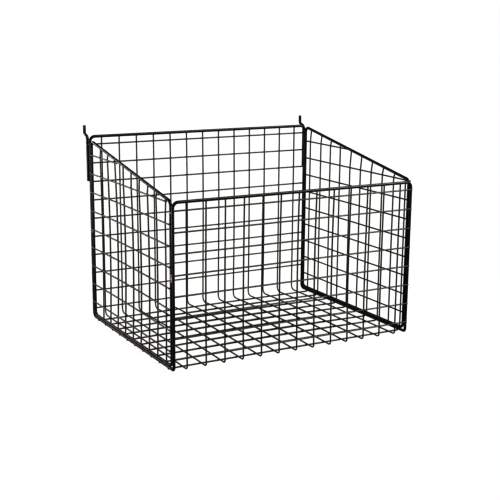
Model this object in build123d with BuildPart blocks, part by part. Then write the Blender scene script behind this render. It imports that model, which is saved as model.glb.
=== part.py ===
from build123d import *
import math
import os

os.makedirs("parts", exist_ok=True)

# ---------------------------------------------------------------------------
# Welded wire mesh container with a sloping top, for hanging by two hooks.
# Millimetres. +X is the container's width (left to right seen from the front),
# +Y runs from the low front to the high back, +Z is up.  The origin is the
# bottom centre of the whole bounding box; the floor's cross wires stand on Z=0.
# ---------------------------------------------------------------------------

# ---- driving dimensions ---------------------------------------------------
pitch = 25.4            # square mesh, wire to wire
rod_d = 3.5             # frame rods, with their powder coat
wire_d = 1.7            # mesh wires, with their powder coat
hook_d = 3.7            # hook rods
weld_gap = 0.02         # parting line left at every welded crossing

frame_width = 13.365 * pitch        # main frame, rod centre to rod centre
frame_depth = 10.260 * pitch
back_height = 9.832 * pitch        # bottom run to back top rod
front_height = 7.916 * pitch       # bottom run to front top rod
top_corner_r = 7.0                 # main frame, both top corners
front_bend_r = 3.6                 # main frame, where the front meets the floor
back_bend_r = 6.5                  # main frame, where the floor meets the back

side_lift = rod_d + 0.05           # side panel's bottom rod stands on the main one
# Side panels, left and right: the front rod's distance behind the main frame's, the
# back rod's distance in front of it, and the sloping rod's height over the front and
# the back plane.
side_panels = {
    "left": (0.210 * pitch, 0.210 * pitch, 7.894 * pitch, 9.649 * pitch),
    "right": (0.190 * pitch, 0.148 * pitch, 7.970 * pitch, 9.806 * pitch),
}
side_corner_r = 6.4

line_count = 13                    # U-shaped wires: front, floor and back in one
first_line = 0.664 * pitch         # from the left rod to the first U wire
front_cross_count = 8
front_cross_top = 7.543 * pitch
floor_cross_count = 10
floor_cross_first = 0.638 * pitch
back_cross_count = 10
back_cross_top = 9.411 * pitch
cross_overhang = 0.5               # front and floor: past the rod's centre, at each end
back_overhang = 1.0                # back: the ends reach the hooks' legs

left_upright_count = 9
left_upright_back = 8.748 * pitch
right_upright_count = 10
right_upright_back = 9.632 * pitch
right_first_gap = 1.128 * pitch    # the right panel's back upright stands further back
level_count = 9
left_level_top = 8.897 * pitch
right_level_top = 8.931 * pitch
tip_lean = 2.2                     # how far the free tips lean to the front

tack_low, tack_high = 0.7, 1.45    # tack weld: from and to, out of the rods' plane
tack_front = ((7.423 * pitch, 4.0), (4.368 * pitch, 12.0))    # height, length
tack_back = (4.714 * pitch, 4.5)
tack_floor = ((9.463 * pitch, 4.5), (4.989 * pitch, 4.5), (0.951 * pitch, 4.5))

hook_dx = 1.6                      # the leg stands outside the corner rod's centre
hook_dy = 5.27                     # and behind the back cross wires
hook_leg_bottom = 7.440 * pitch
hook_leg_top = 9.800 * pitch
hook_rise = 3.3
hook_reach = 10.6                  # leg centre to tab centre
hook_tab_top = 10.370 * pitch
hook_bend_r = 3.9

# ---- derived positions ----------------------------------------------------
rr = rod_d / 2
rw = wire_d / 2
rh = hook_d / 2
outer_layer = rr + rw + weld_gap             # cross wires, outside the rods
inner_layer = outer_layer - wire_d - weld_gap  # the layer welded inside them

y_min = -(outer_layer + rw)
y_max = frame_depth + hook_dy + hook_reach + rh
y_front = -(y_min + y_max) / 2               # main frame's front plane
y_back = y_front + frame_depth
z_floor = outer_layer + rw                   # main frame's bottom runs
x_left = -frame_width / 2
x_right = frame_width / 2


def slope_of(side):
    """Rise per depth of a side panel's sloping rod."""
    _, _, front, back = side_panels[side]
    return (back - front) / frame_depth


def slope_height(side, y):
    """Height of a side panel's sloping rod, its centre line, at depth y."""
    return z_floor + side_panels[side][2] + slope_of(side) * (y - y_front)


# ---- main frame: one rod, bent to a U and closed on itself ----------------
with BuildPart() as main_frame_rod:
    with BuildLine() as main_path:
        FilletPolyline(
            (0, y_back, z_floor + back_height),
            (x_right, y_back, z_floor + back_height),
            (x_right, y_back, z_floor),
            (x_right, y_front, z_floor),
            (x_right, y_front, z_floor + front_height),
            (x_left, y_front, z_floor + front_height),
            (x_left, y_front, z_floor),
            (x_left, y_back, z_floor),
            (x_left, y_back, z_floor + back_height),
            (-0.05, y_back, z_floor + back_height),
            radius=[top_corner_r, back_bend_r, front_bend_r, top_corner_r,
                    top_corner_r, front_bend_r, back_bend_r, top_corner_r],
        )
    with BuildSketch(Plane(origin=main_path.line @ 0, z_dir=main_path.line % 0)):
        Circle(rr)
    sweep()
main_frame_rod.part.label = "main_frame_rod"
export_step(main_frame_rod.part, "parts/main_frame_rod.step")

# ---- side panels: a closed rod, nested inside the main frame --------------
side_front = {side: y_front + panel[0] for side, panel in side_panels.items()}
side_back = {side: y_back - panel[1] for side, panel in side_panels.items()}
side_bottom = z_floor + side_lift

for side, x_rod in (("left", x_left), ("right", x_right)):
    front, back = side_front[side], side_back[side]
    mid = (front + back) / 2
    with BuildPart() as side_frame_rod:
        with BuildLine() as side_path:
            FilletPolyline(
                (x_rod, mid, side_bottom),
                (x_rod, back, side_bottom),
                (x_rod, back, slope_height(side, back)),
                (x_rod, front, slope_height(side, front)),
                (x_rod, front, side_bottom),
                (x_rod, mid - 0.05, side_bottom),
                radius=[side_corner_r] * 4,
            )
        with BuildSketch(Plane(origin=side_path.line @ 0, z_dir=side_path.line % 0)):
            Circle(rr)
        sweep()
    side_frame_rod.part.label = f"{side}_side_frame_rod"
    export_step(side_frame_rod.part, f"parts/{side}_side_frame_rod.step")

# ---- U-shaped mesh: long wires --------------------------------------------
line_front_y = y_front - inner_layer
line_back_y = y_back + inner_layer
line_floor_z = z_floor - inner_layer
line_top_gap = rr + 0.03

for i in range(line_count):
    x_wire = x_left + first_line + i * pitch
    with BuildPart() as line_wire:
        with BuildLine() as line_path:
            FilletPolyline(
                (x_wire, line_front_y, z_floor + front_height - line_top_gap),
                (x_wire, line_front_y, line_floor_z),
                (x_wire, line_back_y, line_floor_z),
                (x_wire, line_back_y, z_floor + back_height - line_top_gap),
                radius=[front_bend_r + inner_layer - 0.6, back_bend_r + inner_layer],
            )
        with BuildSketch(Plane(origin=line_path.line @ 0, z_dir=line_path.line % 0)):
            Circle(rw)
        sweep()
    name = f"line_wire_{i + 1:02d}"
    line_wire.part.label = name
    export_step(line_wire.part, f"parts/{name}.step")

# ---- U-shaped mesh: cross wires, on the outside ---------------------------
cross_length = frame_width + 2 * cross_overhang
cross_plane = Plane(origin=(x_left - cross_overhang, 0, 0), x_dir=(0, 1, 0), z_dir=(1, 0, 0))
back_length = frame_width + 2 * back_overhang
back_plane = Plane(origin=(x_left - back_overhang, 0, 0), x_dir=(0, 1, 0), z_dir=(1, 0, 0))

front_z = [z_floor + front_cross_top - i * pitch for i in range(front_cross_count)]
floor_y = [y_front + floor_cross_first + i * pitch for i in range(floor_cross_count)]
back_z = [z_floor + back_cross_top - i * pitch for i in range(back_cross_count)]

with BuildPart() as front_cross_wires:
    with BuildSketch(cross_plane):
        with Locations([(y_front - outer_layer, z) for z in front_z]):
            Circle(rw)
    extrude(amount=cross_length)
    chamfer(front_cross_wires.edges().filter_by(GeomType.CIRCLE), 0.2)
front_cross_wires.part.label = "front_cross_wires"
export_step(front_cross_wires.part, "parts/front_cross_wires.step")

with BuildPart() as floor_cross_wires:
    with BuildSketch(cross_plane):
        with Locations([(y, z_floor - outer_layer) for y in floor_y]):
            Circle(rw)
    extrude(amount=cross_length)
    chamfer(floor_cross_wires.edges().filter_by(GeomType.CIRCLE), 0.2)
floor_cross_wires.part.label = "floor_cross_wires"
export_step(floor_cross_wires.part, "parts/floor_cross_wires.step")

with BuildPart() as back_cross_wires:
    with BuildSketch(back_plane):
        with Locations([(y_back + outer_layer, z) for z in back_z]):
            Circle(rw)
    extrude(amount=back_length)
    chamfer(back_cross_wires.edges().filter_by(GeomType.CIRCLE), 0.2)
back_cross_wires.part.label = "back_cross_wires"
export_step(back_cross_wires.part, "parts/back_cross_wires.step")

# ---- side panels' mesh ----------------------------------------------------
def slope_underside(side, y):
    """Highest flat end of an upright at depth y that clears the sloping rod."""
    slope = slope_of(side)
    return slope_height(side, y) - (rr + 0.03) * math.hypot(1, slope) - rw * slope


def bottom_topside(side, y):
    """Lowest flat end of an upright at depth y that clears the bottom rod."""
    start = side_front[side] + side_corner_r
    edge = y - rw
    if edge >= start:
        return side_bottom + rr + 0.03
    inner = side_corner_r - rr
    return side_bottom + side_corner_r - math.sqrt(inner**2 - (start - edge) ** 2) + 0.05


sides = (
    ("left", x_left, -1, left_upright_count, left_upright_back, pitch, left_level_top),
    ("right", x_right, 1, right_upright_count, right_upright_back, right_first_gap,
     right_level_top),
)
for side, x_rod, out, upright_count, upright_back, first_gap, level_top in sides:
    x_upright = x_rod + out * inner_layer
    x_level = x_rod + out * outer_layer
    upright_y = [y_front + upright_back]
    upright_y += [y_front + upright_back - first_gap - i * pitch
                  for i in range(upright_count - 1)]
    level_z = [z_floor + level_top - i * pitch for i in range(level_count)]

    # Uprights: the free end above the last level wire leans to the front.
    with BuildPart() as upright_wires:
        for y in upright_y:
            below = [z for z in level_z if z < slope_underside(side, y) - 1.5]
            knee = below[0] + 1.0
            free = slope_underside(side, y) - knee
            lean = tip_lean if 4.0 < free and y > side_front[side] + 12 else 0.0
            top = slope_underside(side, y - lean)
            with BuildLine() as upright_path:
                if lean:
                    FilletPolyline(
                        (x_upright, y, bottom_topside(side, y)),
                        (x_upright, y, knee),
                        (x_upright, y - lean, top),
                        radius=3.0,
                    )
                else:
                    Line((x_upright, y, bottom_topside(side, y)),
                         (x_upright, y, top - (0.25 if y < side_front[side] + 12 else 0.0)))
            with BuildSketch(Plane(origin=upright_path.line @ 0,
                                   z_dir=upright_path.line % 0)):
                Circle(rw)
            sweep(path=upright_path.line)
    upright_wires.part.label = f"{side}_upright_wires"
    export_step(upright_wires.part, f"parts/{side}_upright_wires.step")

    # Level wires: on the outside, flush with the panel's rods, cut at the slope.
    with BuildPart() as level_wires:
        for z in level_z:
            y_slope = y_front + (z + 0.07 * pitch - z_floor - side_panels[side][2]) / slope_of(side)
            y_start = max(side_front[side] - rr + 0.25, y_slope)
            y_end = side_back[side] + rr - 0.25
            with BuildSketch(Plane(origin=(x_level, y_start, z), x_dir=(1, 0, 0),
                                   z_dir=(0, 1, 0))):
                Circle(rw)
            extrude(amount=y_end - y_start)
        chamfer(level_wires.edges().filter_by(GeomType.CIRCLE), 0.2)
    level_wires.part.label = f"{side}_level_wires"
    export_step(level_wires.part, f"parts/{side}_level_wires.step")

# ---- tack welds that hold the side panels in the main frame ---------------
# Each fills the groove between two parallel rods, on the container's outside.
for side, x_rod, out in (("left", x_left, -1), ("right", x_right, 1)):
    tacks = []
    for z, length in tack_front:
        tacks.append((Plane(origin=(x_rod, (y_front + side_front[side]) / 2, z_floor + z),
                            x_dir=(0, out, 0), z_dir=(0, 0, -1)),
                      side_front[side] - y_front, length))
    z, length = tack_back
    tacks.append((Plane(origin=(x_rod, (y_back + side_back[side]) / 2, z_floor + z),
                        x_dir=(0, out, 0), z_dir=(0, 0, -1)),
                  y_back - side_back[side], length))
    for y, length in tack_floor:
        tacks.append((Plane(origin=(x_rod, y_front + y, z_floor + side_lift / 2),
                            x_dir=(0, 0, out), z_dir=(0, 1, 0)),
                      side_lift, length))
    with BuildPart() as panel_welds:
        for weld_plane, spread, length in tacks:
            with BuildSketch(weld_plane):
                with Locations((0, (tack_low + tack_high) / 2)):
                    Rectangle(spread, tack_high - tack_low)
                with Locations((-spread / 2, 0), (spread / 2, 0)):
                    Circle(rr + weld_gap, mode=Mode.SUBTRACT)
            extrude(amount=length / 2, both=True)
    panel_welds.part.label = f"{side}_panel_welds"
    export_step(panel_welds.part, f"parts/{side}_panel_welds.step")

# ---- hooks: a leg welded to the back cross wires, a step back and a tab ---
for side, x_rod, out in (("left", x_left, -1), ("right", x_right, 1)):
    x_hook = x_rod + out * hook_dx
    y_leg = y_back + hook_dy
    y_tab = y_leg + hook_reach
    with BuildPart() as hook:
        with BuildLine() as hook_path:
            FilletPolyline(
                (x_hook, y_leg, z_floor + hook_leg_bottom),
                (x_hook, y_leg, z_floor + hook_leg_top),
                (x_hook, y_tab, z_floor + hook_leg_top + hook_rise),
                (x_hook, y_tab, z_floor + hook_tab_top),
                radius=hook_bend_r,
            )
        with BuildSketch(Plane(origin=hook_path.line @ 0, z_dir=hook_path.line % 0)):
            Circle(rh)
        sweep()
        chamfer(hook.faces().filter_by(Axis.Z).edges(), 0.4)
    hook.part.label = f"{side}_hook"
    export_step(hook.part, f"parts/{side}_hook.step")

print("y_front", round(y_front, 3), "y_back", round(y_back, 3), "z_floor", round(z_floor, 3))
print("hook x", round(x_right + hook_dx, 3), "leg y", round(y_back + hook_dy, 3),
      "tab y", round(y_back + hook_dy + hook_reach, 3),
      "tab top", round(z_floor + hook_tab_top, 3))
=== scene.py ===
import math

import bpy
import numpy as np
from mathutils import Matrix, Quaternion, Vector


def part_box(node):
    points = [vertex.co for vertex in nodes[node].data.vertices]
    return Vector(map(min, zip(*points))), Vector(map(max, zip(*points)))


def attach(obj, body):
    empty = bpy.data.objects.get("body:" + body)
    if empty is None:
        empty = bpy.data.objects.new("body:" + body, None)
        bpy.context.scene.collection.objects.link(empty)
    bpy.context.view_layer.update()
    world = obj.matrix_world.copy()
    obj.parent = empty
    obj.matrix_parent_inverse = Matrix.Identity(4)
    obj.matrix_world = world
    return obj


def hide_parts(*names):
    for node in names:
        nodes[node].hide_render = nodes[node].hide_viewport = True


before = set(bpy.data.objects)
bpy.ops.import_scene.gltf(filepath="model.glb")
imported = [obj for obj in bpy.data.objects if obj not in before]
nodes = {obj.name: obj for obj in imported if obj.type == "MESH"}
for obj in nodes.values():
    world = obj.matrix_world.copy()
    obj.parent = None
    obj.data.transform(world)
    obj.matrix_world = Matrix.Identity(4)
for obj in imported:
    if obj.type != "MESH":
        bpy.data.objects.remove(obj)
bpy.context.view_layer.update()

PITCH = 25.4
ROD_R, WIRE_R, HOOK_R = 1.75, 0.85, 1.85


def box(node):
    lo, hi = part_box(node)
    return np.array(lo) * 1000.0, np.array(hi) * 1000.0


def vertices(node):
    me = nodes[node].data
    co = np.empty(len(me.vertices) * 3)
    me.vertices.foreach_get("co", co)
    return co.reshape(-1, 3) * 1000.0


def islands(node):
    """The box (low, high) of every separate solid in a CAD node."""
    me = nodes[node].data
    co = vertices(node)
    _, same = np.unique(np.round(co, 3), axis=0, return_inverse=True)
    same = same.reshape(-1)
    ed = np.empty(len(me.edges) * 2, int)
    me.edges.foreach_get("vertices", ed)
    a, b = same[ed.reshape(-1, 2)].T
    label = np.arange(same.max() + 1)
    while True:
        low = np.minimum(label[a], label[b])
        new = label.copy()
        np.minimum.at(new, a, low)
        np.minimum.at(new, b, low)
        new = new[new]
        if (new == label).all():
            break
        label = new
    label = label[same]
    return [(co[label == k].min(0), co[label == k].max(0)) for k in np.unique(label)]


# ---- places read from the CAD ----------------------------------------------
lo, hi = box("main_frame_rod")
X_ROD = hi[0] - ROD_R
Y_FRONT, Y_BACK = lo[1] + ROD_R, hi[1] - ROD_R
Z_FLOOR, Z_BACK_TOP = lo[2] + ROD_R, hi[2] - ROD_R
v = vertices("main_frame_rod")
Z_FRONT_TOP = v[v[:, 1] < Y_FRONT + 2.5][:, 2].max() - ROD_R
SIDE_FRONT, SIDE_BACK = {}, {}
for side in ("left", "right"):
    lo, hi = box(f"{side}_side_frame_rod")
    SIDE_FRONT[side], SIDE_BACK[side], SIDE_BOTTOM = lo[1] + ROD_R, hi[1] - ROD_R, lo[2] + ROD_R
SLOPE_ENDS = {"left": (7.894 * PITCH, 9.649 * PITCH), "right": (7.970 * PITCH, 9.806 * PITCH)}
SLOPE = {side: (b - a) / (Y_BACK - Y_FRONT) for side, (a, b) in SLOPE_ENDS.items()}


def slope_height(side, y):
    return Z_FLOOR + SLOPE_ENDS[side][0] + SLOPE[side] * (y - Y_FRONT)


# ---- slight, smooth unevenness of the mesh panels ----------------------------
def hump(t):
    """0 at both ends of 0..1 and 1 in the middle."""
    t = np.clip(t, 0, 1)
    return 4 * t * (1 - t)


def warp(p):
    """Mesh panels bow and their wires wander a little between the rods, which stay true."""
    p = np.array(p, float)
    x, y, z = p[:, 0].copy(), p[:, 1].copy(), p[:, 2].copy()
    hx = hump((x + X_ROD) / (2 * X_ROD))
    hy = hump((y - Y_FRONT) / (Y_BACK - Y_FRONT))
    # front
    h = hump((z - Z_FLOOR) / (Z_FRONT_TOP - Z_FLOOR))
    w = np.exp(-(((y - Y_FRONT) / 5.0) ** 2)) * (hx * h)
    k = w ** 0.5
    p[:, 1] += w * (1.75 + 0.2 * np.sin(x / 47.0 + 0.6))
    p[:, 0] += k * (0.16 * np.sin(z / 41.0 + x / 33.0) + 0.12 * np.sin(x / 8.1 + 2.0))
    p[:, 2] += k * (0.14 * np.sin(x / 58.0 + z / 29.0 + 1.1) + 0.10 * np.sin(z / 8.3))
    # back
    h = hump((z - Z_FLOOR) / (Z_BACK_TOP - Z_FLOOR))
    w = np.exp(-(((y - Y_BACK) / 5.0) ** 2)) * (hx * h)
    k = w ** 0.5
    p[:, 1] -= w * (1.25 + 0.2 * np.sin(x / 52.0 + 2.2))
    p[:, 0] += k * (0.16 * np.sin(z / 48.0 + x / 37.0 + 4.0) + 0.12 * np.sin(x / 7.9))
    p[:, 2] += k * (0.14 * np.sin(x / 61.0 + z / 31.0 + 0.3) + 0.10 * np.sin(z / 8.0 + 1.0))
    # floor
    w = np.exp(-(((z - Z_FLOOR) / 4.0) ** 2)) * (hx * hy)
    k = w ** 0.5
    p[:, 2] += w * (2.6 + 0.2 * np.sin(x / 50.0 + 1.0))
    p[:, 0] += k * (0.16 * np.sin(y / 43.0 + x / 35.0 + 1.7) + 0.12 * np.sin(x / 8.2 + 1.0))
    p[:, 1] += k * (0.14 * np.sin(x / 56.0 + y / 30.0 + 2.9) + 0.12 * np.sin(y / 8.1 + 3.0))
    # sides
    for side, s, bow, q in (("left", -1, 2.5, 0.0), ("right", 1, 0.25, 2.4)):
        h = (hump((y - SIDE_FRONT[side]) / (SIDE_BACK[side] - SIDE_FRONT[side]))
             * hump((z - SIDE_BOTTOM) / (slope_height(side, y) - SIDE_BOTTOM)))
        w = np.exp(-(((x - s * X_ROD) / 5.0) ** 2)) * h
        k = w ** 0.5
        p[:, 0] -= s * w * (bow + 0.2 * np.sin(y / 41.0 + q))
        p[:, 1] += k * (0.2 * np.sin(z / 43.0 + y / 31.0 + q) + 0.16 * np.sin(y / 7.8 + q))
        p[:, 2] += k * (0.14 * np.sin(y / 50.0 + z / 27.0 + q) + 0.10 * np.sin(z / 8.2 + q))
    return p


# ---- mesh building ------------------------------------------------------------
class Mesh:
    """Collects closed shells of vertices and faces, with a wear-and-sheen value per vertex: real wear, and on
    the tack welds' crests also painted highlight.
    """

    def __init__(self):
        self.co, self.faces, self.wear, self.n = [], [], [], 0

    def add(self, co, faces, wear=None):
        co = np.asarray(co, float)
        self.co.append(co)
        self.faces += [tuple(i + self.n for i in f) for f in faces]
        self.wear.append(np.zeros(len(co)) if wear is None else np.asarray(wear, float))
        self.n += len(co)

    def piece(self, name, material, slot, *replaced, bend=True):
        co = np.concatenate(self.co)
        if bend:
            co = warp(co)
        me = bpy.data.meshes.new(name)
        me.from_pydata((co * 0.001).tolist(), [], self.faces)
        me.validate()
        me.polygons.foreach_set("use_smooth", [True] * len(me.polygons))
        attribute = me.attributes.new("wear", "FLOAT", "POINT")
        attribute.data.foreach_set("value", np.concatenate(self.wear).astype(np.float32))
        me.materials.append(material)
        me.update()
        ob = bpy.data.objects.new(name, me)
        bpy.context.scene.collection.objects.link(ob)
        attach(ob, "root")
        if replaced:
            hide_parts(*replaced)
        return ob


def unit(v):
    v = np.asarray(v, float)
    return v / np.linalg.norm(v)


def rounded(points, radii, closed=False, step=4.0, turn=7.5):
    """A line through the points with each corner rounded, as evenly spaced points."""
    pts = [np.asarray(p, float) for p in points]
    n = len(pts)
    corners = range(n) if closed else range(1, n - 1)
    radii = list(radii) if hasattr(radii, "__len__") else [radii] * n
    arcs = {}
    for k, i in enumerate(corners):
        p, a, b = pts[i], pts[i - 1], pts[(i + 1) % n]
        d0, d1 = unit(a - p), unit(b - p)
        angle = math.acos(max(-1.0, min(1.0, float(d0 @ d1))))
        r = radii[k]
        cut = r / math.tan(angle / 2)
        centre = p + unit(d0 + d1) * (r / math.sin(angle / 2))
        start, end = p + d0 * cut, p + d1 * cut
        sweep = math.pi - angle
        m = max(2, int(math.ceil(math.degrees(sweep) / turn)))
        e0, e1 = unit(start - centre), -d0
        arcs[i] = [centre + r * (e0 * math.cos(sweep * j / m) + e1 * math.sin(sweep * j / m))
                   for j in range(m + 1)]
    out = []

    def straight(a, b):
        length = np.linalg.norm(b - a)
        m = max(1, int(round(length / step)))
        out.extend(a + (b - a) * (j / m) for j in range(1, m))

    if not closed:
        out.append(pts[0])
        last = pts[0]
        for i in range(1, n - 1):
            straight(last, arcs[i][0])
            out.extend(arcs[i])
            last = arcs[i][-1]
        straight(last, pts[-1])
        out.append(pts[-1])
    else:
        for i in range(n):
            out.extend(arcs[i])
            straight(arcs[i][-1], arcs[(i + 1) % n][0])
    return np.array(out)


def frames(path, closed):
    """Tangent and two normals along a path, carried without twist."""
    n = len(path)
    if closed:
        tangent = np.roll(path, -1, 0) - np.roll(path, 1, 0)
    else:
        tangent = np.gradient(path, axis=0)
    tangent /= np.linalg.norm(tangent, axis=1)[:, None]
    first = np.array([0.0, 0.0, 1.0]) if abs(tangent[0][2]) < 0.9 else np.array([1.0, 0.0, 0.0])
    normal = np.empty_like(path)
    normal[0] = unit(np.cross(tangent[0], first))
    for i in range(1, n):
        v = normal[i - 1] - tangent[i] * (normal[i - 1] @ tangent[i])
        normal[i] = unit(v)
    if closed:
        v = normal[-1] - tangent[0] * (normal[-1] @ tangent[0])
        v = unit(v)
        other = np.cross(tangent[0], normal[0])
        twist = math.atan2(float(v @ other), float(v @ normal[0]))
        binormal = np.cross(tangent, normal)
        for i in range(n):
            a = -twist * i / n
            normal[i] = normal[i] * math.cos(a) + binormal[i] * math.sin(a)
    return tangent, normal, np.cross(tangent, normal)


def tube(path, radius, segments, closed=False, edge=0.35, radii=None):
    """A round rod along path.  Open ends are rounded over `edge` of the radius."""
    path = np.asarray(path, float)
    r = np.full(len(path), float(radius)) if radii is None else np.asarray(radii, float)
    if not closed:
        q = edge * radius
        t0, t1 = unit(path[1] - path[0]), unit(path[-1] - path[-2])
        head = [(path[0] + t0 * q * (1 - math.sin(a)), radius - q * (1 - math.cos(a)))
                for a in (math.pi / 2, math.pi / 3.2, math.pi / 7, 0)]
        tail = [(path[-1] - t1 * q * (1 - math.sin(a)), radius - q * (1 - math.cos(a)))
                for a in (0, math.pi / 7, math.pi / 3.2, math.pi / 2)]
        path = np.array([p for p, _ in head] + list(path[1:-1]) + [p for p, _ in tail])
        r = np.array([x for _, x in head] + list(r[1:-1]) + [x for _, x in tail])
    t, n, b = frames(path, closed)
    if not closed:  # the rounded ends share the straight run's direction
        for i in range(4):
            t[i], n[i], b[i] = t[4], n[4], b[4]
            t[-1 - i], n[-1 - i], b[-1 - i] = t[-5], n[-5], b[-5]
    a = np.arange(segments) * (2 * math.pi / segments)
    ring = (n[:, None, :] * np.cos(a)[None, :, None] + b[:, None, :] * np.sin(a)[None, :, None])
    co = (path[:, None, :] + ring * r[:, None, None]).reshape(-1, 3)
    m, s = len(path), segments
    faces = []
    for i in range(m if closed else m - 1):
        j = (i + 1) % m
        faces += [(i * s + k, i * s + (k + 1) % s, j * s + (k + 1) % s, j * s + k)
                  for k in range(s)]
    if not closed:
        co = np.vstack([co, path[0], path[-1]])
        faces += [(m * s, (k + 1) % s, k) for k in range(s)]
        faces += [(m * s + 1, (m - 1) * s + k, (m - 1) * s + (k + 1) % s) for k in range(s)]
    return co, faces


rng = np.random.default_rng(7)


def shell(rings, low, high):
    """A closed shell of rings, from a pole at low to a pole at high."""
    m, s = len(rings), len(rings[0])
    co = np.vstack([np.concatenate(rings), low, high])
    faces = []
    for i in range(m - 1):
        faces += [(i * s + k, i * s + (k + 1) % s, (i + 1) * s + (k + 1) % s, (i + 1) * s + k)
                  for k in range(s)]
    faces += [(m * s, (k + 1) % s, k) for k in range(s)]
    faces += [(m * s + 1, (m - 1) * s + k, (m - 1) * s + (k + 1) % s) for k in range(s)]
    return co, faces


def crossing(at, u, normal, a, b, gap=0.02, reach=1.2, size=1.0, keep=None, segments=16):
    """The weld between wire A, which runs along u through `at`, and wire B, which crosses it
    on the side of `normal`: a saddle that meets both wires' surfaces."""
    at, u, normal = np.asarray(at, float), unit(u), unit(normal)
    v = np.cross(normal, u)
    h = a + b + gap
    th = np.arange(segments) * (2 * math.pi / segments)
    c, s = np.cos(th), np.sin(th)
    edge = 0.92 / ((np.abs(c) / b) ** 4 + (np.abs(s) / a) ** 4) ** 0.25
    edge = np.minimum(edge, reach) * size * (1 + 0.05 * np.sin(th * 2 + rng.uniform(0, 6.3)))
    edge = np.minimum(edge, 0.97 / np.maximum(np.abs(c) / b, np.abs(s) / a))
    sink = 0.03
    h_low = np.sqrt(a * a - (edge * s) ** 2) - sink
    h_high = h - np.sqrt(b * b - (edge * c) ** 2) + sink
    waist = rng.uniform(0.86, 0.94)
    rings = []
    for t in (-1.0, -0.55, 0.0, 0.55, 1.0):
        rho = edge * (1 - (1 - waist) * (1 - t * t))
        height = h_low + (h_high - h_low) * (t + 1) / 2
        p = (at + u * (rho * c)[:, None] + v * (rho * s)[:, None] + normal * height[:, None])
        if keep is not None:
            p = keep(p)
        rings.append(p)
    return shell(rings, at + normal * (h_low.min() - 0.05), at + normal * (h_high.max() + 0.05))


def collar(end, along, rod_at, rod_dir, rod_r, wire_r, flare=0.42, length=1.0, segments=14):
    """The weld where a wire's end meets a rod: it flares from the wire to the rod's surface."""
    end, along, rod_dir = np.asarray(end, float), unit(along), unit(rod_dir)
    e1 = unit(np.cross(rod_dir, along))
    e2 = np.cross(along, e1)
    off = float((end - rod_at) @ e1)
    to_rod = float((np.asarray(rod_at, float) - end) @ along)
    th = np.arange(segments) * (2 * math.pi / segments)
    c, s = np.cos(th), np.sin(th)
    flare = flare * rng.uniform(0.8, 1.15)
    rings = []
    for t in (0.0, 0.3, 0.6, 0.85, 1.0):
        rho = wire_r - 0.03 + (flare + 0.03) * t ** 2.2
        side = np.clip(off + rho * c, -0.94 * rod_r, 0.94 * rod_r)
        surface = to_rod - np.sqrt(rod_r ** 2 - side ** 2) + 0.04
        depth = -length + (surface + length) * t ** 0.85
        rings.append(end + e1 * (side - off)[:, None] + e2 * (rho * s)[:, None]
                     + along * depth[:, None])
    low = end - along * (length - 0.05)
    high = end + along * (to_rod - rod_r * 0.55)
    return shell(rings, low, high)


def bead(start, end, towards, side, a, b, gap=0.02, width=58.0, stations=26, bulge=0.16, lump=0.0):
    """A weld run in the groove between two parallel rods: rod A runs from start to end, rod B
    lies in the direction `towards`, and the bead is on the side `side`."""
    start, end = np.asarray(start, float), np.asarray(end, float)
    axis, e = unit(end - start), unit(towards)
    s = unit(np.asarray(side, float) - e * (np.asarray(side, float) @ e))
    d = a + b + gap
    rings = []
    phase = rng.uniform(0, 6.3)
    for i in range(stations):
        t = i / (stations - 1)
        full = max(0.08, (1 - abs(2 * t - 1) ** 3.0)) ** 0.5
        ripple = (1 + 0.07 * math.sin(phase + t * 34.0) + 0.04 * math.sin(phase * 2 + t * 13.0)
                  + lump * math.sin(phase * 3 + t * 8.0))
        phi_a = math.radians(width * full * ripple)
        phi_b = math.radians(width * full * (2 - ripple))
        pa = (a - 0.03) * (math.cos(phi_a) * e + math.sin(phi_a) * s)
        pb = d * e + (b - 0.03) * (-math.cos(phi_b) * e + math.sin(phi_b) * s)
        mid = (pa + pb) / 2
        out = mid + s * (bulge * full * ripple)
        ring = []
        for k in range(7):
            q = k / 6
            ring.append((1 - q) ** 2 * pa + 2 * q * (1 - q) * out + q * q * pb)
        inner_b = d * e + (b - 0.25) * (-math.cos(phi_b * 0.4) * e + math.sin(phi_b * 0.4) * s)
        inner_a = (a - 0.25) * (math.cos(phi_a * 0.4) * e + math.sin(phi_a * 0.4) * s)
        ring += [inner_b, inner_a]
        rings.append(np.array(ring) + start + (end - start) * t)
    low = rings[0].mean(0) - axis * 0.05
    high = rings[-1].mean(0) + axis * 0.05
    return shell(rings, low, high)


def nugget(centre, radii, around=16, rows=9):
    """A lump of weld metal."""
    phase = rng.uniform(0, 6.3, 3)
    rings = []
    for i in range(1, rows):
        lat = -math.pi / 2 + math.pi * i / rows
        lon = np.arange(around) * (2 * math.pi / around)
        d = np.stack([np.cos(lon) * math.cos(lat), np.sin(lon) * math.cos(lat),
                      np.full(around, math.sin(lat))], 1)
        lump = 1 + 0.07 * np.sin(3 * d[:, 0] + phase[0]) + 0.07 * np.sin(4 * d[:, 2] + phase[1]) \
            + 0.05 * np.sin(5 * d[:, 1] + phase[2])
        rings.append(np.asarray(centre) + d * np.asarray(radii) * lump[:, None])
    low = np.asarray(centre, float) - (0, 0, radii[2] * 1.0)
    high = np.asarray(centre, float) + (0, 0, radii[2] * 1.0)
    return shell(rings, low, high)


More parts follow.
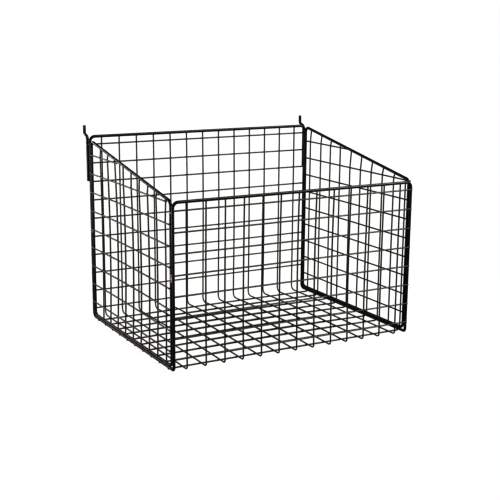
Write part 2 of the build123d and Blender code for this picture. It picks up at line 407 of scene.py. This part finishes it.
# ---- materials -----------------------------------------------------------------
def coat(name, colour, tint, rough, peel=0.30, metal_wear=0.0, specular=0.42):
    """Black powder coat: orange peel, fine grain, cloudy gloss, dust nibs and rubbed edges painted lighter;
    on the tack welds' crests the lighter rubbed colour is painted highlight as well as wear.
    """
    mat = bpy.data.materials.new(name)
    mat.use_nodes = True
    nt = mat.node_tree
    nt.nodes.clear()
    new, link = nt.nodes.new, nt.links.new

    def noise(scale, detail=2.0, roughness=0.5):
        n = new("ShaderNodeTexNoise")
        n.inputs["Scale"].default_value = scale
        n.inputs["Detail"].default_value = detail
        n.inputs["Roughness"].default_value = roughness
        link(where.outputs["Object"], n.inputs["Vector"])
        return n

    def ramp(source, low, high, to_low=0.0, to_high=1.0):
        n = new("ShaderNodeMapRange")
        n.inputs["From Min"].default_value = low
        n.inputs["From Max"].default_value = high
        n.inputs["To Min"].default_value = to_low
        n.inputs["To Max"].default_value = to_high
        link(source, n.inputs["Value"])
        return n.outputs["Result"]

    def maths(op, a, b):
        n = new("ShaderNodeMath")
        n.operation = op
        n.use_clamp = False
        for i, x in enumerate((a, b)):
            if isinstance(x, (int, float)):
                n.inputs[i].default_value = x
            else:
                link(x, n.inputs[i])
        return n.outputs[0]

    def mix(factor, a, b):
        n = new("ShaderNodeMix")
        n.data_type = "RGBA"
        link(factor, n.inputs["Factor"])
        for key, x in (("A", a), ("B", b)):
            s = [i for i in n.inputs if i.name == key and i.type == "RGBA"][0]
            if isinstance(x, tuple):
                s.default_value = (*x, 1.0)
            else:
                link(x, s)
        return [o for o in n.outputs if o.type == "RGBA"][0]

    where = new("ShaderNodeTexCoord")
    cloud = noise(38.0, 3.0, 0.55)          # 25 mm patches of thicker and thinner coat
    orange = noise(720.0, 2.0, 0.45)        # orange peel, about 1.4 mm
    grain = noise(3800.0, 1.0, 0.5)         # powder grain
    nibs = new("ShaderNodeTexVoronoi")
    nibs.inputs["Scale"].default_value = 260.0
    link(where.outputs["Object"], nibs.inputs["Vector"])
    nib = ramp(nibs.outputs["Distance"], 0.035, 0.085, 1.0, 0.0)
    wear_and_sheen_node = new("ShaderNodeAttribute")
    wear_and_sheen_node.attribute_name = "wear"

    base = mix(ramp(cloud.outputs["Fac"], 0.35, 0.68), colour, tint)
    dull = tuple(min(1.0, c * 2.6 + 0.004) for c in tint)
    base = mix(maths("MULTIPLY", nib, 0.35), base, dull)
    # rubbed places are painted lighter: real wear, and on the tack welds' crests also painted highlight
    rub_and_sheen = maths("MULTIPLY", wear_and_sheen_node.outputs["Fac"], ramp(orange.outputs["Fac"], 0.40, 0.66))
    base = mix(maths("MULTIPLY", rub_and_sheen, 0.55), base, dull)
    bare = maths("MULTIPLY", maths("MULTIPLY", wear_and_sheen_node.outputs["Fac"], metal_wear),
                 ramp(grain.outputs["Fac"], 0.56, 0.64))
    base = mix(bare, base, (0.20, 0.19, 0.18))

    p = new("ShaderNodeBsdfPrincipled")
    link(base, p.inputs["Base Color"])
    r = maths("ADD", ramp(cloud.outputs["Fac"], 0.3, 0.7, rough - 0.05, rough + 0.06),
              ramp(grain.outputs["Fac"], 0.3, 0.7, -0.02, 0.03))
    r = maths("SUBTRACT", r, maths("MULTIPLY", rub_and_sheen, 0.08))
    link(r, p.inputs["Roughness"])
    link(maths("MULTIPLY", bare, 0.8), p.inputs["Metallic"])
    p.inputs["Specular IOR Level"].default_value = specular

    height = maths("ADD", maths("MULTIPLY", orange.outputs["Fac"], 1.0),
                   maths("MULTIPLY", grain.outputs["Fac"], 0.22))
    height = maths("ADD", height, maths("MULTIPLY", nib, 0.5))
    bump = new("ShaderNodeBump")
    bump.inputs["Strength"].default_value = peel
    bump.inputs["Distance"].default_value = 0.00008
    link(height, bump.inputs["Height"])
    link(bump.outputs["Normal"], p.inputs["Normal"])
    out = new("ShaderNodeOutputMaterial")
    link(p.outputs["BSDF"], out.inputs["Surface"])
    return mat


# One black powder coat in four brightnesses that stand in for light and shade: the mesh coat is lighter, as
# painted light on the wires; the frame and hook coats are darker, as painted shade on the rods; the weld coat
# is lightest, as painted highlight on the welds.
frame_coat = coat("frame_powder_coat", (0.0040, 0.0026, 0.0030), (0.0090, 0.0058, 0.0068), 0.34,
                  specular=0.26)
mesh_coat = coat("mesh_powder_coat", (0.0120, 0.0112, 0.0090), (0.0200, 0.0186, 0.0150), 0.40,
                 specular=0.36)
hook_coat = coat("hook_powder_coat", (0.0040, 0.0027, 0.0030), (0.0090, 0.0062, 0.0068), 0.36,
                 metal_wear=0.55, specular=0.28)
weld_coat = coat("weld_powder_coat", (0.0200, 0.0150, 0.0160), (0.0400, 0.0300, 0.0320), 0.26,
                 peel=0.2, metal_wear=0.9, specular=0.60)

# ---- frame rods -------------------------------------------------------------------
def seam_path(path, at, span=3.0, fine=0.35):
    """Adds close points round the place where a closed rod is butt-welded; returns the path and
    each point's distance from the weld."""
    d = np.linalg.norm(path - at, axis=1)
    i = int(d.argmin())
    a, b = path[i - 1], path[(i + 1) % len(path)]
    t = unit(b - a)
    m = int(span / fine)
    extra = [at + t * (k * fine) for k in range(-m, m + 1)]
    keep = [p for j, p in enumerate(path) if abs((p - at) @ t) > span + 0.3 or d[j] > 3 * span]
    first = next(j for j, p in enumerate(keep) if (p - at) @ t > 0 and np.linalg.norm(p - at) < 12)
    out = keep[:first] + extra + keep[first:]
    out = np.array(out)
    return out, np.linalg.norm(out - at, axis=1)


def weld_swell(distance, radius, seed):
    r = np.full(len(distance), radius)
    near = distance < 3.2
    r[near] += 0.13 * np.exp(-((distance[near] / 0.75) ** 2)) - 0.02 * np.exp(
        -(((distance[near] - 1.9) / 0.5) ** 2))
    return r


m = Mesh()
path = rounded(
    [(X_ROD, Y_BACK, Z_BACK_TOP), (X_ROD, Y_BACK, Z_FLOOR), (X_ROD, Y_FRONT, Z_FLOOR),
     (X_ROD, Y_FRONT, Z_FRONT_TOP), (-X_ROD, Y_FRONT, Z_FRONT_TOP), (-X_ROD, Y_FRONT, Z_FLOOR),
     (-X_ROD, Y_BACK, Z_FLOOR), (-X_ROD, Y_BACK, Z_BACK_TOP)],
    [7.0, 6.5, 3.6, 7.0, 7.0, 3.6, 6.5, 7.0], closed=True, step=4.0)
path, far = seam_path(path, np.array([0.0, Y_BACK, Z_BACK_TOP]))
m.add(*tube(path, ROD_R, 24, closed=True, radii=weld_swell(far, ROD_R, 1)))
m.piece("main_frame_rod_coated", frame_coat, "frame_coat", "main_frame_rod", bend=False)

for side, s in (("left", -1), ("right", 1)):
    m = Mesh()
    x = s * X_ROD
    path = rounded(
        [(x, SIDE_BACK[side], SIDE_BOTTOM),
         (x, SIDE_BACK[side], slope_height(side, SIDE_BACK[side])),
         (x, SIDE_FRONT[side], slope_height(side, SIDE_FRONT[side])),
         (x, SIDE_FRONT[side], SIDE_BOTTOM)],
        6.4, closed=True, step=4.0)
    path, far = seam_path(path, np.array([x, (SIDE_FRONT[side] + SIDE_BACK[side]) / 2,
                                          SIDE_BOTTOM]))
    m.add(*tube(path, ROD_R, 24, closed=True, radii=weld_swell(far, ROD_R, 2)))
    m.piece(f"{side}_side_frame_rod_coated", frame_coat, "frame_coat", f"{side}_side_frame_rod",
            bend=False)

# ---- U-shaped long wires ---------------------------------------------------------
line_x = []
welds_front, welds_floor, welds_back = Mesh(), Mesh(), Mesh()
for i in range(1, 14):
    node = f"line_wire_{i:02d}"
    lo, hi = box(node)
    x = (lo[0] + hi[0]) / 2
    line_x.append(x)
    y0, y1, z0 = lo[1] + WIRE_R, hi[1] - WIRE_R, lo[2] + WIRE_R
    v = vertices(node)
    top_front = v[v[:, 1] < y0 + 3.0][:, 2].max()
    top_back = hi[2]
    path = rounded([(x, y0, top_front), (x, y0, z0), (x, y1, z0), (x, y1, top_back)],
                   [3.9, 7.4], step=4.2)
    m = Mesh()
    m.add(*tube(path, WIRE_R, 14, edge=0.25))
    m.piece(f"{node}_coated", mesh_coat, "mesh_coat", node)
    welds_front.add(*collar((x, y0, top_front), (0, 0, 1), (x, Y_FRONT, Z_FRONT_TOP), (1, 0, 0),
                            ROD_R, WIRE_R))
    welds_back.add(*collar((x, y1, top_back), (0, 0, 1), (x, Y_BACK, Z_BACK_TOP), (1, 0, 0),
                           ROD_R, WIRE_R))
LINE_FRONT, LINE_BACK, LINE_FLOOR = y0, y1, z0

# ---- cross wires, and their welds --------------------------------------------------
for group, welds in (("front", welds_front), ("floor", welds_floor), ("back", welds_back)):
    node = f"{group}_cross_wires"
    m = Mesh()
    for lo, hi in sorted(islands(node), key=lambda b: tuple(b[0][::-1])):
        y, z = (lo[1] + hi[1]) / 2, (lo[2] + hi[2]) / 2
        count = int(round((hi[0] - lo[0]) / 4.2))
        path = np.linspace((lo[0], y, z), (hi[0], y, z), count + 1)
        m.add(*tube(path, WIRE_R, 14, edge=0.45))
        if group == "front":
            out, along, centre = (0, -1, 0), (0, 0, 1), lambda x: (x, LINE_FRONT, z)
            rod = lambda x: (x, Y_FRONT, z)
        elif group == "floor":
            out, along, centre = (0, 0, -1), (0, 1, 0), lambda x: (x, y, LINE_FLOOR)
            rod = lambda x: (x, y, Z_FLOOR)
        else:
            out, along, centre = (0, 1, 0), (0, 0, 1), lambda x: (x, LINE_BACK, z)
            rod = lambda x: (x, Y_BACK, z)
        for x in line_x:
            welds.add(*crossing(centre(x), along, out, WIRE_R, WIRE_R))
        for s, end in ((-1, lo[0]), (1, hi[0])):
            def keep(p, s=s, end=end):
                p = p.copy()
                p[:, 0] = np.minimum(p[:, 0], end - 0.12) if s > 0 else np.maximum(p[:, 0], end + 0.12)
                return p
            welds.add(*crossing(rod(s * X_ROD), along, out, ROD_R, WIRE_R, reach=1.25, size=1.1,
                                keep=keep, segments=18))
    m.piece(f"{node}_coated", mesh_coat, "mesh_coat", node)

# ---- side panels' mesh ----------------------------------------------------------------
for side, s in (("left", -1), ("right", 1)):
    welds = Mesh()
    x_rod = s * X_ROD
    levels = sorted(islands(f"{side}_level_wires"), key=lambda b: b[0][2])
    uprights = sorted(islands(f"{side}_upright_wires"), key=lambda b: b[1][1])
    level_z = [(lo[2] + hi[2]) / 2 for lo, hi in levels]
    x_level = (levels[0][0][0] + levels[0][1][0]) / 2
    x_up = (uprights[0][0][0] + uprights[0][1][0]) / 2
    m = Mesh()
    places = []
    for lo, hi in uprights:
        y = hi[1] - WIRE_R
        lean = (hi[1] - lo[1]) - 2 * WIRE_R
        z0, z1 = lo[2], hi[2]
        if lean > 0.5:
            knee = max(z for z in level_z if z < z1 - 1.5) + 1.0
            path = rounded([(x_up, y, z0), (x_up, y, knee), (x_up, y - lean, z1)], [3.0], step=4.2)
            y_top = y - lean
        else:
            count = max(6, int(round((z1 - z0) / 4.2)))
            path = np.linspace((x_up, y, z0), (x_up, y, z1), count + 1)
            y_top = y
        m.add(*tube(path, WIRE_R, 14, edge=0.25))
        places.append((y, z0, z1))
        top_dir = unit(path[-1] - path[-2])
        on_rod = np.array([x_rod, y_top, slope_height(side, y_top)])
        end = np.array([x_up, y_top, z1 - WIRE_R * abs(SLOPE[side]) - 0.15])
        if y > SIDE_FRONT[side] + 9:
            welds.add(*collar(end, (0, 0, 1), on_rod, (0, 1, SLOPE[side]), ROD_R, WIRE_R))
        if SIDE_FRONT[side] + 7.5 < y:
            welds.add(*collar((x_up, y, z0), (0, 0, -1), (x_rod, y, SIDE_BOTTOM), (0, 1, 0),
                              ROD_R, WIRE_R))
    m.piece(f"{side}_upright_wires_coated", mesh_coat, "mesh_coat", f"{side}_upright_wires")

    m = Mesh()
    for lo, hi in levels:
        z = (lo[2] + hi[2]) / 2
        count = max(6, int(round((hi[1] - lo[1]) / 4.2)))
        path = np.linspace((x_level, lo[1], z), (x_level, hi[1], z), count + 1)
        m.add(*tube(path, WIRE_R, 14, edge=0.45))
        for y, z0, z1 in places:
            if lo[1] - 0.2 < y < hi[1] + 0.2 and z0 - 0.4 < z < z1 + 0.2:
                welds.add(*crossing((x_up, y, z), (0, 0, 1), (s, 0, 0), WIRE_R, WIRE_R))
        for y_rod, end in ((SIDE_FRONT[side], lo[1]), (SIDE_BACK[side], hi[1])):
            if abs(end - y_rod) < 3.0:
                def keep(p, end=end, up=(end > 0)):
                    p = p.copy()
                    p[:, 1] = np.minimum(p[:, 1], end - 0.12) if up else np.maximum(p[:, 1], end + 0.12)
                    return p
                welds.add(*crossing((x_rod, y_rod, z), (0, 0, 1), (s, 0, 0), ROD_R, WIRE_R,
                                    reach=1.25, size=1.1, keep=keep, segments=18))
        if lo[1] > SIDE_FRONT[side] + 4:   # cut at the slope: it ends on the sloping rod
            y_hit = lo[1] + 1.2
            if abs(slope_height(side, y_hit) - z) < 3.0:
                welds.add(*crossing((x_rod, y_hit, slope_height(side, y_hit)), (0, 1, SLOPE[side]), (s, 0, 0),
                                    ROD_R, WIRE_R, reach=1.1, size=0.9, segments=18))
    m.piece(f"{side}_level_wires_coated", mesh_coat, "mesh_coat", f"{side}_level_wires")
    welds.piece(f"{side}_side_welds", mesh_coat, "mesh_coat")

welds_front.piece("front_welds", mesh_coat, "mesh_coat")
welds_floor.piece("floor_welds", mesh_coat, "mesh_coat")
welds_back.piece("back_welds", mesh_coat, "mesh_coat")

# ---- tack welds between the side panels and the main frame ------------------------------
def tack(mesh, start, end, towards, side, spread, width):
    """A lumpy weld in the groove between two rods `spread` apart, painted lighter on its crest: rubbed coat
    and painted highlight.
    """
    co, faces = bead(start, end, towards, side, ROD_R, ROD_R, gap=spread - 2 * ROD_R, width=width,
                     bulge=0.95, lump=0.09,
                     stations=max(14, int(np.linalg.norm(np.subtract(end, start)) * 2.4)))
    # the outward crest gets a high wear-and-sheen value, which paints it lighter: rubbed coat and painted
    # highlight
    crest = (co - np.asarray(start, float)) @ unit(side)
    mesh.add(co, faces, np.clip((crest - 1.0) / 0.5, 0, 1))


for side, s in (("left", -1), ("right", 1)):
    m = Mesh()
    for lo, hi in islands(f"{side}_panel_welds"):
        mid, size = (lo + hi) / 2, hi - lo
        if lo[2] > Z_FLOOR + 4:          # between two upright rods
            front = mid[1] < 0
            y_main = Y_FRONT if front else Y_BACK
            y_side = SIDE_FRONT[side] if front else SIDE_BACK[side]
            a, b = np.array([s * X_ROD, y_main, lo[2]]), np.array([s * X_ROD, y_main, hi[2]])
            tack(m, a, b, (0, y_side - y_main, 0), (s, 0, 0), abs(y_side - y_main), 62.0)
        else:                            # between the two bottom rods
            a, b = np.array([s * X_ROD, lo[1], Z_FLOOR]), np.array([s * X_ROD, hi[1], Z_FLOOR])
            tack(m, a, b, (0, 0, 1), (s, 0, 0), SIDE_BOTTOM - Z_FLOOR, 66.0)
    m.piece(f"{side}_panel_welds_coated", weld_coat, "weld_coat", f"{side}_panel_welds",
            bend=False)

# ---- hooks ------------------------------------------------------------------------------
back_ends = sorted(islands("back_cross_wires"), key=lambda b: b[0][2])
for side, s in (("left", -1), ("right", 1)):
    node = f"{side}_hook"
    lo, hi = box(node)
    x = (lo[0] + hi[0]) / 2
    y_leg, y_tab = lo[1] + HOOK_R, hi[1] - HOOK_R
    z_low, z_top = lo[2], hi[2]
    z_knee, rise = Z_FLOOR + 9.800 * PITCH, 3.3
    path = rounded([(x, y_leg, z_low), (x, y_leg, z_knee), (x, y_tab, z_knee + rise),
                    (x, y_tab, z_top)], 3.9, step=3.0, turn=6.0)
    co, faces = tube(path, HOOK_R - 0.012, 24, edge=0.24)
    tip = np.clip((co[:, 2] - (z_top - 4.5)) / 4.0, 0, 1)
    inner = np.clip(1 - np.abs(co[:, 2] - (z_knee + rise)) / 4.0, 0, 1) * 0.5
    m = Mesh()
    m.add(co, faces, np.maximum(tip, inner))
    m.piece(f"{node}_coated", hook_coat, "hook_coat", node, bend=False)
    # the welds between the leg and the ends of the back cross wires behind it
    w = Mesh()
    for low_end, high_end in back_ends:
        z = (low_end[2] + high_end[2]) / 2
        if z_low + 2 < z < z_knee - 2:
            y_wire = (low_end[1] + high_end[1]) / 2
            end_x = high_end[0] if s > 0 else low_end[0]
            co, faces = nugget((end_x - s * 0.15, y_wire + 0.85, z), (1.15, 1.2, 1.3))
            w.add(co, faces, np.full(len(co), 0.4))
    w.piece(f"{side}_hook_welds", weld_coat, "weld_coat", bend=False)

# ---- floor, light and camera ---------------------------------------------------------------
scene = bpy.context.scene
floor_mat = bpy.data.materials.new("studio_floor")
floor_mat.use_nodes = True
p = floor_mat.node_tree.nodes["Principled BSDF"]
p.inputs["Base Color"].default_value = (0.02, 0.02, 0.02, 1)
p.inputs["Roughness"].default_value = 0.9
p.inputs["Specular IOR Level"].default_value = 0.0
p.inputs["Emission Color"].default_value = (1, 1, 1, 1)
p.inputs["Emission Strength"].default_value = 0.97
# a flat floor that curves up into a pale backdrop far away on every side
sweep = [(40.0, 0.0)] + [(40.0 + 16.0 * math.sin(a), 16.0 * (1 - math.cos(a)))
                         for a in np.radians(np.arange(7.5, 91, 7.5))] + [(56.0, 30.0)]
ring = np.radians(np.arange(0, 360, 5.0))
points = [(0.0, 0.0, -0.0002)] + [(r * math.cos(a), r * math.sin(a), z - 0.0002)
                                  for r, z in sweep for a in ring]
n = len(ring)
faces = [(0, 1 + k, 1 + (k + 1) % n) for k in range(n)]
for j in range(len(sweep) - 1):
    faces += [(1 + j * n + k, 1 + (j + 1) * n + k, 1 + (j + 1) * n + (k + 1) % n, 1 + j * n + (k + 1) % n)
              for k in range(n)]
me = bpy.data.meshes.new("studio_floor")
me.from_pydata(points, [], faces)
me.polygons.foreach_set("use_smooth", [True] * len(me.polygons))
me.materials.append(floor_mat)
floor = bpy.data.objects.new("studio_floor", me)
floor.visible_shadow = False      # the backdrop does not stand in the lamps' way
scene.collection.objects.link(floor)

world = bpy.data.worlds.new("studio")
world.use_nodes = True
scene.world = world
background = world.node_tree.nodes["Background"]
background.inputs["Color"].default_value = (1, 1, 1, 1)
background.inputs["Strength"].default_value = 0.25


def sun(name, direction, strength, angle, colour=(1.0, 1.0, 1.0)):
    light = bpy.data.lights.new(name, "SUN")
    light.energy = strength
    light.color = colour
    light.angle = math.radians(angle)
    ob = bpy.data.objects.new(name, light)
    ob.rotation_mode = "QUATERNION"
    ob.rotation_quaternion = Vector(direction).to_track_quat("-Z", "Y")
    scene.collection.objects.link(ob)


sun("key_light", (-0.60, 0.50, -0.60), 10.5, 40, (1.0, 1.0, 0.93))
sun("rim_light", (0.15, -0.95, -0.28), 1.4, 40, (1.0, 1.0, 0.93))


def panel(name, place, target, size, power, colour):
    light = bpy.data.lights.new(name, "AREA")
    light.shape = "SQUARE"
    light.size = size
    light.energy = power
    light.color = colour
    ob = bpy.data.objects.new(name, light)
    ob.location = place
    ob.rotation_mode = "QUATERNION"
    ob.rotation_quaternion = (Vector(target) - Vector(place)).to_track_quat("-Z", "Y")
    scene.collection.objects.link(ob)


panel("left_panel", (-0.66, 0.0, 0.07), (-0.17, -0.12, 0.09), 0.30, 8.0, (1.0, 0.93, 0.96))
panel("back_panel", (-0.47, 0.66, 0.27), (-0.17, 0.02, 0.08), 0.30, 3.0, (1.0, 0.96, 0.94))
panel("front_panel", (0.34, -0.42, 0.40), (0.0, -0.10, 0.04), 0.22, 2.5, (1.0, 1.0, 0.93))

cam_data = bpy.data.cameras.new("camera")
cam_data.sensor_width = 36.0
cam_data.lens = 74.688
cam_data.clip_start, cam_data.clip_end = 0.05, 300.0
cam = bpy.data.objects.new("camera", cam_data)
cam.rotation_mode = "QUATERNION"
cam.rotation_quaternion = Quaternion((0.75621628, 0.60393689, -0.1602155, -0.1942374))
cam.location = (-0.660803, -1.195028, 0.411285)
scene.collection.objects.link(cam)
scene.camera = cam
scene.view_settings.view_transform = "Raw"
scene.view_settings.look = "None"
scene.view_settings.exposure = 0.0
scene.view_settings.gamma = 1.0
